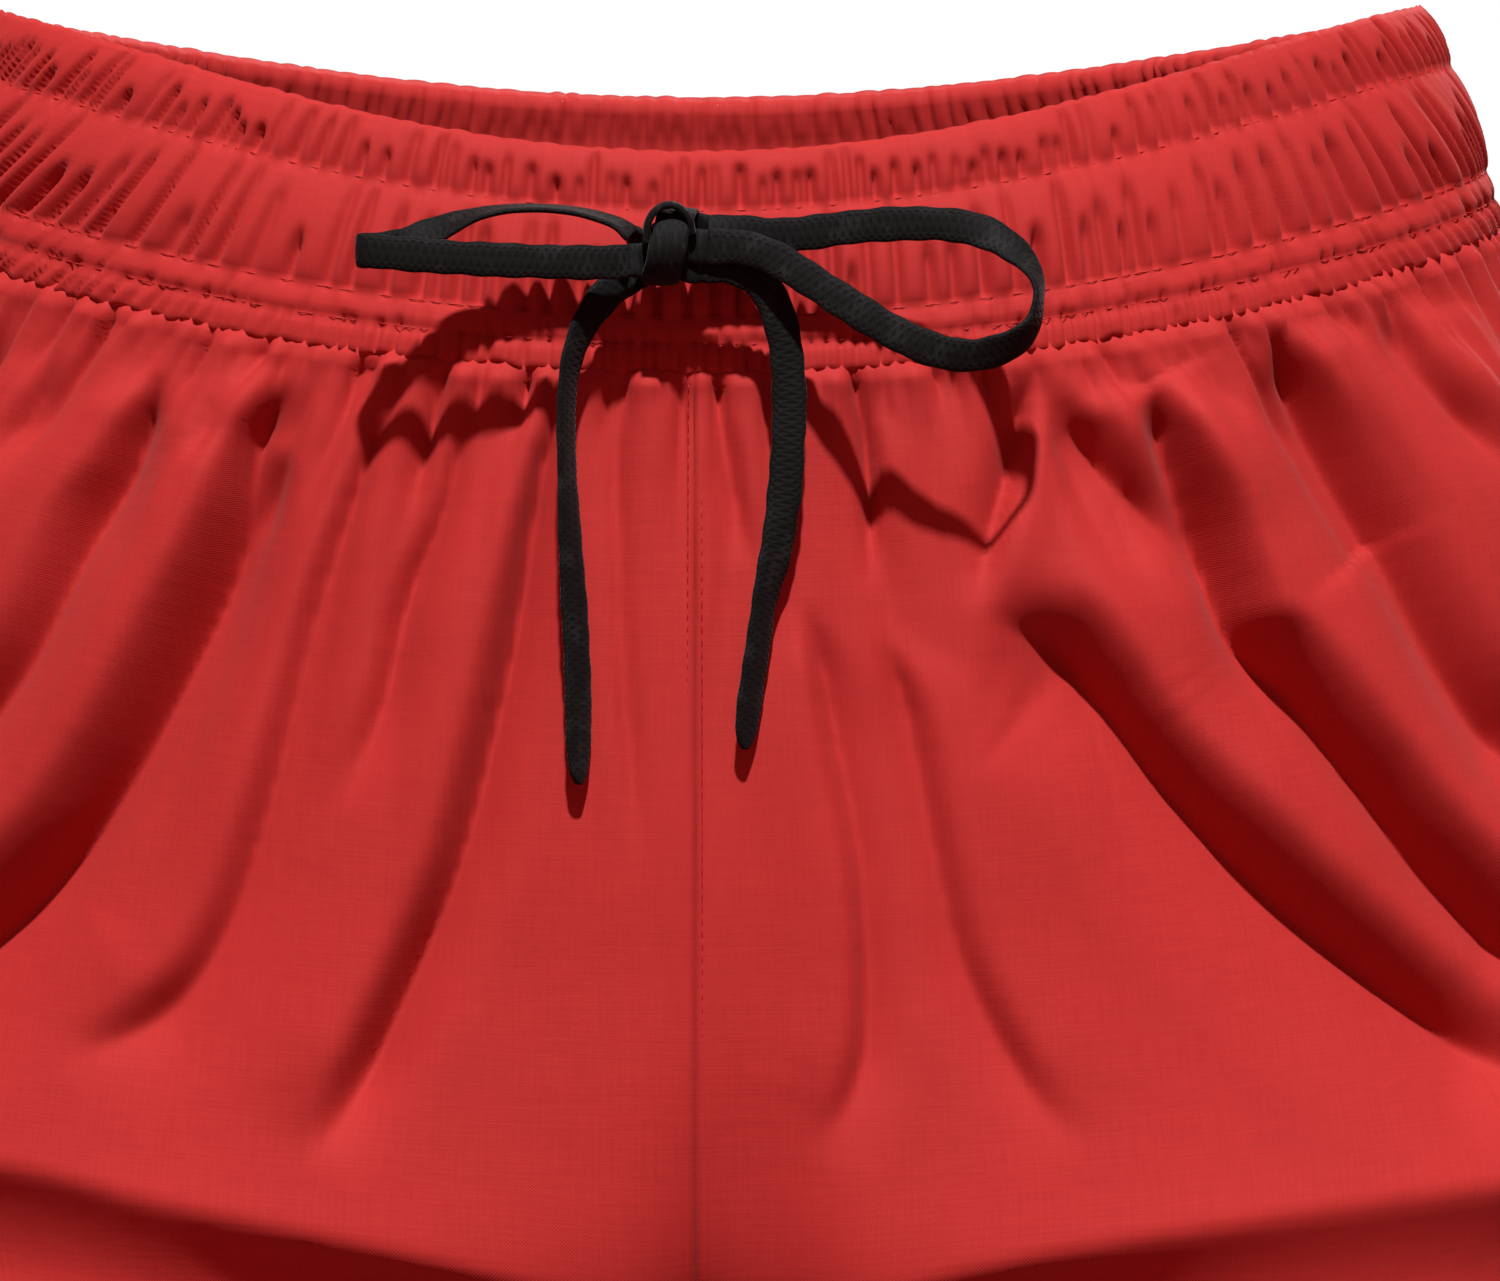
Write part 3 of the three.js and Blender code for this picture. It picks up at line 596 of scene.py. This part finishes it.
# A fold is a crease down a line of x, z points. On its high side the cloth climbs steeply to a
# crest over the width given, and eases away; on its low side it comes up gently. high is 1 where
# the crest lies towards the wearer's left of the line, and -1 where it lies towards the right.
# A fold starts narrow and opens to its width and depth over the last figure, in millimetres, or
# starts wide and shallow where that is 0.
FRONT_FOLDS = (
    # line, high, steep width, depth, opens over
    # wearer's right
    (((-83, -46), (-92, -59), (-97, -79), (-105, -98), (-122, -129), (-142, -155), (-178, -184)),
     -1, 15, 13.5, 60),
    (((-111, -44), (-117, -57), (-122, -68), (-130, -82), (-143, -107), (-162, -130), (-186, -154)),
     -1, 13, 11, 46),
    (((-28, -48), (-33, -70), (-38, -100), (-43, -122), (-50, -148), (-60, -172), (-70, -194),
      (-78, -210)), -1, 9.5, 8.8, 60),
    (((-60, -50), (-68, -63), (-79, -96), (-89, -135), (-98, -161), (-110, -178), (-132, -190)),
     -1, 8, 4.8, 60),
    (((-47, -50), (-52, -73), (-60, -93), (-65, -115), (-73, -137)), -1, 6.5, 4.4, 40),
    (((-83, -58), (-88, -67), (-94, -82)), -1, 6, 2.6, 10),
    (((-96, -45), (-99, -53), (-104, -66)), -1, 6, 2.8, 10),
    (((-17, -50), (-16, -88), (-14.5, -116), (-12, -150)), -1, 3.2, 2.2, 20),
    (((-132, -38), (-140, -52), (-152, -70)), -1, 6, 4, 20),
    (((-146, -32), (-155, -48), (-170, -72), (-184, -88)), -1, 9, 6, 40),
    # wearer's left
    (((7, -48), (8, -66), (12, -88)), 1, 3.5, 3.2, 20),
    (((36, -46), (37, -70), (36, -94)), 1, 3.2, 4.5, 20),
    (((70, -43), (67, -60), (62, -78), (57, -97)), 1, 6.5, 6.5, 12),
    (((22, -92), (28, -118), (34, -150), (35, -180), (31, -196), (23, -207)),
     -1, 8, 4.6, 30),
    (((38, -98), (44, -114), (50, -144), (56, -168), (68, -192), (80, -208)), 1, 9, 3.6, 30),
    (((57, -95), (66, -98), (76, -103), (86, -113), (101, -132), (124, -155), (147, -173),
      (186, -200)), 1, 14, 12.5, 0),
    (((75, -45), (79, -57), (88, -68), (97, -78), (108, -90)), 1, 10, 7.5, 16),
    (((94, -45), (97, -55), (101, -66), (106, -78), (110, -89), (115, -101), (129, -116),
      (142, -132), (158, -152), (188, -184)), 1, 13, 14, 36),
    (((121, -33), (124, -41), (135, -61), (149, -83), (165, -112), (188, -142)), 1, 15, 12, 36),
    (((143, -27), (151, -42), (165, -57), (178, -72)), 1, 7, 6, 16))
# The overhang above each thigh turns under at a sharp crest instead.
FRONT_OVERHANGS = (
    (((4, -258), (-40, -252), (-81, -245), (-115, -239), (-142, -233), (-200, -226)),
     -1, 22, 12, 0),
    (((20, -260), (62, -251), (104, -245), (165, -238), (205, -234)), 1, 22, 12, 0))
BACK_FOLDS = (
    (((-78, -34), (-84, -60), (-96, -96), (-128, -140), (-172, -172)), -1, 17, 8.5, 60),
    (((-122, -30), (-134, -60), (-152, -92), (-180, -118)), -1, 13, 6, 50),
    (((-30, -40), (-34, -70), (-40, -110), (-58, -160), (-80, -198)), -1, 14, 5, 60),
    (((-56, -40), (-62, -76), (-72, -112)), -1, 8, 3, 30),
    (((-12, -36), (-12, -60), (-10, -96)), -1, 4, 2, 20),
    (((14, -36), (13, -66), (15, -104)), 1, 4, 2, 20),
    (((34, -40), (38, -70), (42, -112), (56, -158), (86, -200)), 1, 14, 5, 60),
    (((60, -38), (66, -74), (78, -108)), 1, 8, 3, 30),
    (((84, -34), (92, -62), (104, -92), (130, -132), (172, -168)), 1, 17, 8.5, 60),
    (((120, -28), (132, -58), (152, -88), (182, -118)), 1, 13, 6, 50))
BACK_OVERHANGS = (
    (((-40, -260), (-80, -246), (-120, -236), (-176, -230)), -1, 24, 8, 0),
    (((40, -260), (80, -248), (122, -238), (176, -232)), 1, 24, 8, 0))
CREST_SHARE = 0.4        # crest height over the depth of the crease
LOW_SIDE_REACH = 2.6     # how far each side eases away, over the steep width
CREST_REACH = 3.2
NARROW_START = 0.3       # width of a fold at its start, over its full width
DEPTH_OPENING = 0.25     # power of that share which its depth follows
START_FADE = 14
SLOW_START = 26
END_FADE = 0.16          # share of a fold's length, but no less and no more than these
END_FADE_LEAST = 28
END_FADE_MOST = 0.45
UPRIGHT_FROM = 0.6       # folds that run this steeply and more are narrower, and so darker
UPRIGHT_OVER = 0.35
UPRIGHT_NARROWER = 0.34
FOLD_ROUNDING = 1.2
TOP_FADE = 0.014         # shares of the panel's length and width over which the folds fade out
SIDE_FADE = 0.16
FOLDS_END = 0.6
FOLDS_END_FADE = 0.12


def between_stations(stations, key, v):
    """Smooth curve through the values that one size takes at the stations, without overshoot."""
    table = np.array(stations, dtype=float)
    knots = table[:, 0]
    values = table[:, STATION_KEYS.index(key)]
    rate = np.diff(values) / np.diff(knots)
    inner = np.sign(rate[1:]) * np.minimum(
        np.abs(rate[1:] + rate[:-1]) / 2, 3 * np.minimum(np.abs(rate[1:]), np.abs(rate[:-1])))
    inner[rate[1:] * rate[:-1] <= 0] = 0
    slope = np.concatenate([rate[:1], inner, rate[-1:]])
    i = np.clip(np.searchsorted(knots, v, side="right") - 1, 0, len(knots) - 2)
    span = knots[i + 1] - knots[i]
    t = (v - knots[i]) / span
    return ((2 * t**3 - 3 * t**2 + 1) * values[i] + (t**3 - 2 * t**2 + t) * span * slope[i]
            + (3 * t**2 - 2 * t**3) * values[i + 1] + (t**3 - t**2) * span * slope[i + 1])


def calm_point(panel, u, v):
    """The half panel on the wearer's left without its folds, in millimetres."""
    size = lambda key: between_stations(panel["stations"], key, v)
    lead = np.radians(size("lead"))
    facing = panel["facing"]
    first = np.stack([size("x"), size("y") * facing])
    reach = size("reach")
    second = first + np.stack([reach * np.cos(lead), reach * np.sin(lead) * facing])
    last = np.stack([size("side"), np.zeros_like(v)])
    third = last + np.stack([np.zeros_like(v), size("arrive") * facing])
    w = 1 - u
    plan = w**3 * first + 3 * w**2 * u * second + 3 * w * u**2 * third + u**3 * last
    angle = np.cos(u * np.pi / 2)
    dip = panel["dip"] * (1 - ease(v / 0.3))
    rise = dip * angle + (1 - dip) * angle**2
    height = size("side_z") + (size("z") - size("side_z")) * rise
    return np.stack([plan[0], plan[1], height], axis=1)


def outward(panel, u, v):
    """The calm panel's outward directions."""
    step = 1e-3
    low_u, high_u = np.maximum(u - step, 0), np.minimum(u + step, 1)
    low_v, high_v = np.maximum(v - step, 0), np.minimum(v + step, 1)
    across = calm_point(panel, high_u, v) - calm_point(panel, low_u, v)
    down = calm_point(panel, u, high_v) - calm_point(panel, u, low_v)
    return unit(np.cross(across, down)) * panel["facing"]


def fold_height(fold, x, z, sharp_crest=False):
    """How far one fold lifts or sinks the cloth at the points x, z."""
    line, high, steep, depth, opens = fold
    line = curve_through(np.array(line, dtype=float), steps=6)
    runs = np.linalg.norm(np.diff(line, axis=0), axis=1)
    starts = np.concatenate([[0], np.cumsum(runs)])
    climbs = np.abs(unit(np.gradient(line, axis=0))[:, 1])
    nearest = np.full(len(x), np.inf)
    away = np.zeros(len(x))
    gone = np.zeros(len(x))
    upright = np.zeros(len(x))
    for start, end, length, before, climb, next_climb in zip(
            line, line[1:], runs, starts, climbs, climbs[1:]):
        run = (end - start) / length
        off_x, off_z = x - start[0], z - start[1]
        t = np.clip(off_x * run[0] + off_z * run[1], 0, length)
        gap = np.hypot(off_x - t * run[0], off_z - t * run[1])
        side = np.sign(run[0] * off_z - run[1] * off_x)
        closer = gap < nearest
        nearest = np.where(closer, gap, nearest)
        away = np.where(closer, gap * side * high, away)
        gone = np.where(closer, before + t, gone)
        upright = np.where(closer, climb + (next_climb - climb) * t / length, upright)
    total = starts[-1]
    end_fade = min(max(END_FADE * total, END_FADE_LEAST), END_FADE_MOST * total)
    start_fade = START_FADE if opens else SLOW_START
    fade = ease(gone / start_fade) * ease((total - gone) / end_fade)
    steep = steep * (1 - UPRIGHT_NARROWER * ease((upright - UPRIGHT_FROM) / UPRIGHT_OVER))
    if opens:
        open_share = NARROW_START + (1 - NARROW_START) * ease(gone / opens)
        steep = steep * open_share
        depth = depth * open_share**DEPTH_OPENING
    crest = depth * CREST_SHARE

    def profile(away):
        part = np.clip(away / steep, 0, 1) * np.pi / 2
        climb = 1 - np.cos(part) if sharp_crest else np.sin(part)
        low_side = -depth * (1 - np.clip(-away / (steep * LOW_SIDE_REACH), 0, 1)) ** 2
        beyond = crest * (1 - ease((away - steep) / (steep * CREST_REACH)))
        climb = (depth + crest) * climb - depth
        return np.where(away < 0, low_side, np.where(away < steep, climb, beyond))

    near, far = profile(away - FOLD_ROUNDING), profile(away + FOLD_ROUNDING)
    return fade * (near + 2 * profile(away) + far) / 4


def creases(panel, side, u, v, calm):
    """All the folds of a panel, faded out at its edges."""
    x, z = calm[:, 0] * side, calm[:, 2]
    total = sum(fold_height(fold, x, z) for fold in panel["folds"])
    total += sum(fold_height(fold, x, z, sharp_crest=True) for fold in panel["overhangs"])
    return (total * ease(v / TOP_FADE) * ease((1 - u) / SIDE_FADE)
            * (1 - ease((v - FOLDS_END) / FOLDS_END_FADE)))


HEAD_HEIGHT = 3
GAP_DEPTH = 4
PLEAT_DEPTH = 4.8
SOFT_WAVE = 2
BROAD_PLEAT = 2.4


def pleats(panel, side, v, top_arc):
    """Puffed heads under the casing with sharp gaps between, which run down as pleats of all
    lengths and merge into fewer and wider ones."""
    below = v * panel["length"]
    across = top_arc - 0.35 * ease(top_arc / 150) * below
    seed = panel["seed"] + (3 if side > 0 else 0)
    rise = ease(below / 2.4)
    heads = ruffled(across, seed + 5, (5.5, 12), (0.4, 1.0))
    short = lambda own, at: rise * np.exp(-(at / (6 + 12 * own)) ** 2)
    long = lambda own, at: rise * np.exp(-(at / (16 + 75 * own**1.6)) ** 1.5)
    gaps = pinches(across, below, seed, (3, 7), (0.8, 1.5), short, widening=0.05)
    runs = pinches(across, below, seed + 1, (8, 19), (1.2, 2.4), long, widening=0.05)
    broad = ruffled(across, seed + 2, (22, 46), (0.1, 1.0)) - 0.4
    soft = ruffled(across + 0.1 * below, seed + 7, (11, 24), (0.2, 1.0)) - 0.4
    return (rise * (0.8 + HEAD_HEIGHT * heads) * np.exp(-below / 10)
            - GAP_DEPTH * gaps - PLEAT_DEPTH * runs
            + ease(below / 20) * soft * SOFT_WAVE * np.exp(-((below / 110) ** 2))
            + ease(below / 30) * broad * BROAD_PLEAT * np.exp(-((below / 150) ** 2)))


FLUTE_DEPTH = 3.5
SEAM_DENT = 0.2
HEM_DENT = 0.5
HEM_DEPTH = 20
BELLY_Z = -240
TUCK_IN = 1.5
TUCK_UP = 2.2


def panel_place(panel, side):
    """Where the points of a panel go: its calm form with folds, pleats, seam, hem and flutes."""
    def place(u, v):
        v = panel["spread"] * v**1.35 + (1 - panel["spread"]) * v
        calm = calm_point(panel, u, v)
        normal = outward(panel, u, v)
        lift = normal.copy()
        lift[:, 0] *= ease(u / 0.05)
        lift = unit(lift)
        arcs = np.linspace(0, 1, 200)
        top = calm_point(panel, arcs, np.zeros(200))
        gone = distance_gone(top)
        top_arc = np.interp(u, arcs, gone)
        height = creases(panel, side, u, v, calm) + pleats(panel, side, v, top_arc)
        height *= ease((1 - u) / 0.05)
        flutes = FLUTE_DEPTH * np.cos(6 * np.pi * u) * ease((v - 0.7) / 0.3)
        edge = np.minimum(top_arc, gone[-1] - top_arc)
        seam = -SEAM_DENT * np.exp(-((edge / 0.8) ** 2))
        under_casing = 1 - ease(v * panel["length"] / 1.4)
        hem = -HEM_DENT * np.exp(-(((v - 1) * panel["length"] + HEM_DEPTH) / 1.2) ** 2)
        belly = panel["belly"] * np.exp(
            -((calm[:, 0] / 70) ** 2) - ((calm[:, 2] - BELLY_Z) / 24) ** 2)
        out = seam + hem - flutes - TUCK_IN * under_casing
        point = calm + normal * out[:, None] + lift * (height + belly)[:, None]
        point[:, 2] += TUCK_UP * under_casing
        point[:, 0] *= side
        return point * MM
    return place


CLOTH_UV = (0.30, 0.42)
FRONT = {"facing": -1, "stations": FRONT_STATIONS, "folds": FRONT_FOLDS, "dip": 0.347,
         "overhangs": FRONT_OVERHANGS, "belly": 8, "length": 400, "seed": 21, "spread": 0.6,
         "columns": 205, "rows": 222}
BACK = {"facing": 1, "stations": BACK_STATIONS, "folds": BACK_FOLDS, "dip": -1.136,
        "overhangs": BACK_OVERHANGS, "belly": 0, "length": 420, "seed": 31, "spread": 0.5,
        "columns": 165, "rows": 170}

for name, panel, side in (("front_left", FRONT, 1), ("front_right", FRONT, -1),
                          ("back_left", BACK, 1), ("back_right", BACK, -1)):
    mesh = shaped_grid(name, panel["columns"], panel["rows"], panel_place(panel, side), CLOTH_UV)
    if side * panel["facing"] > 0:
        mesh.flip_normals()
    piece = add_piece("cloth_" + name, mesh, red_cloth)
    wall = piece.modifiers.new("wall", "SOLIDIFY")
    wall.thickness = CLOTH
    wall.offset = -1
    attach(piece, "root")
    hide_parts(name)


# ---- Stitching ----
# Rows of red polyester thread: three round the casing, two beside each centre seam and one above
# each hem. Each row rises over the cloth for a stitch and dives into it between two.
STITCH = 2.6
STITCH_LIFTS = (0.04, 0.12, 0.04, -0.3)
THREAD_WIDTH = 0.28 * MM


def thread_row(surface, guide, outwards):
    """One row of stitches along points on the cloth, lifted off it in the outwards directions."""
    surface = np.array(surface) / MM
    gone = distance_gone(surface)
    even = np.arange(0, gone[-1], STITCH / len(STITCH_LIFTS))
    lifts = np.resize(STITCH_LIFTS, len(even))[:, None]
    place = np.stack([np.interp(even, gone, column) for column in surface.T], axis=1)
    out = np.stack([np.interp(even, gone, column) for column in outwards.T], axis=1)
    route = np.hstack([place + unit(out) * lifts, np.zeros((len(even), 1))])
    return flat_cord("row", route, guide, width=THREAD_WIDTH, thickness=THREAD_WIDTH, around=6)[0]


def add_stitches(name, rows, node):
    """Join rows of stitches into one piece that goes with a node."""
    joined = bmesh.new()
    for mesh in rows:
        joined.from_mesh(mesh)
    mesh = bpy.data.meshes.new(name)
    joined.to_mesh(mesh)
    joined.free()
    piece = add_piece(name, mesh, thread_red)
    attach(piece, "root")
    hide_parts(node)


thread_red = new_material("red_thread", {
    "Base Color": (0.40, 0.008, 0.006, 1), "Roughness": 0.5, "Specular IOR Level": 0.4})[0]

ring = np.linspace(0.002, 0.998, 2400)
ring_angle = (2 * ring - 1) * np.pi
ring_out = np.stack([np.sin(ring_angle), -np.cos(ring_angle), 0 * ring], axis=1)
rows = []
for down in (*STITCH_ROWS[1:3], EXTRA_ROW):
    v = INSIDE_SHARE + (1 - INSIDE_SHARE) * down / BAND_HEIGHT
    rows.append(thread_row(band_place(ring, np.full(len(ring), v)), UPWARDS, ring_out))
add_stitches("stitches_casing", rows, "waistband")

for name, panel, side in (("front_left", FRONT, 1), ("front_right", FRONT, -1),
                          ("back_left", BACK, 1), ("back_right", BACK, -1)):
    place = panel_place(panel, side)
    down = np.linspace(0.012, 0.9, 900)
    seam = place(np.full(900, 0.0045), down)
    straight = np.tile((0.0, panel["facing"], 0.0), (900, 1))
    keep = seam[:, 2] > -250 * MM
    rows = [thread_row(seam[keep], ACROSS_WEARER, straight[keep])]
    across = np.linspace(0.01, 0.99, 900)
    hem = place(across, np.full(900, 0.962))
    middle = hem.mean(axis=0)
    rows.append(thread_row(hem, UPWARDS, (hem - middle) * (1, 1, 0)))
    add_stitches("stitches_" + name, rows, name)


# ---- Floor and light ----
# A plain pale floor below the hems, a hard-edged key from above and in front, a weak light from
# behind and a dim red-tinted surround, as if the cloth itself lit its shaded folds.
FLOOR_Z = cad_box[0][2] - 60 * MM
KEY_ELEVATION = 57
floor_mesh = bpy.data.meshes.new("floor")
floor_body = bmesh.new()
bmesh.ops.create_grid(floor_body, x_segments=1, y_segments=1, size=4)
bmesh.ops.translate(floor_body, verts=floor_body.verts, vec=(0, 0, FLOOR_Z))
floor_body.to_mesh(floor_mesh)
floor_body.free()
pale = new_material("pale_floor", {"Base Color": (0.8, 0.8, 0.8, 1), "Roughness": 0.9})[0]
floor = add_piece("floor", floor_mesh, pale)
floor.visible_diffuse = False
floor.visible_glossy = False

key = bpy.data.objects.new("key", bpy.data.lights.new("key", "SUN"))
key.data.energy = 4.45
key.data.angle = radians(2.5)
key.rotation_euler = (radians(90 - KEY_ELEVATION), 0, radians(2))
bpy.context.scene.collection.objects.link(key)

behind = bpy.data.objects.new("behind", bpy.data.lights.new("behind", "SUN"))
behind.data.energy = 1.4
behind.data.angle = radians(20)
behind.rotation_euler = (radians(-55), 0, radians(-20))
bpy.context.scene.collection.objects.link(behind)

world = bpy.data.worlds.new("studio")
world.use_nodes = True
bpy.context.scene.world = world
air = Dye(world.node_tree)
seen = air.node("LightPath")
backdrop = seen.between((0.26, 0.08, 0.08, 1), (1, 1, 1, 1))
world.node_tree.links.new(backdrop.socket, world.node_tree.nodes["Background"].inputs["Color"])
bpy.context.scene.view_settings.view_transform = "Standard"
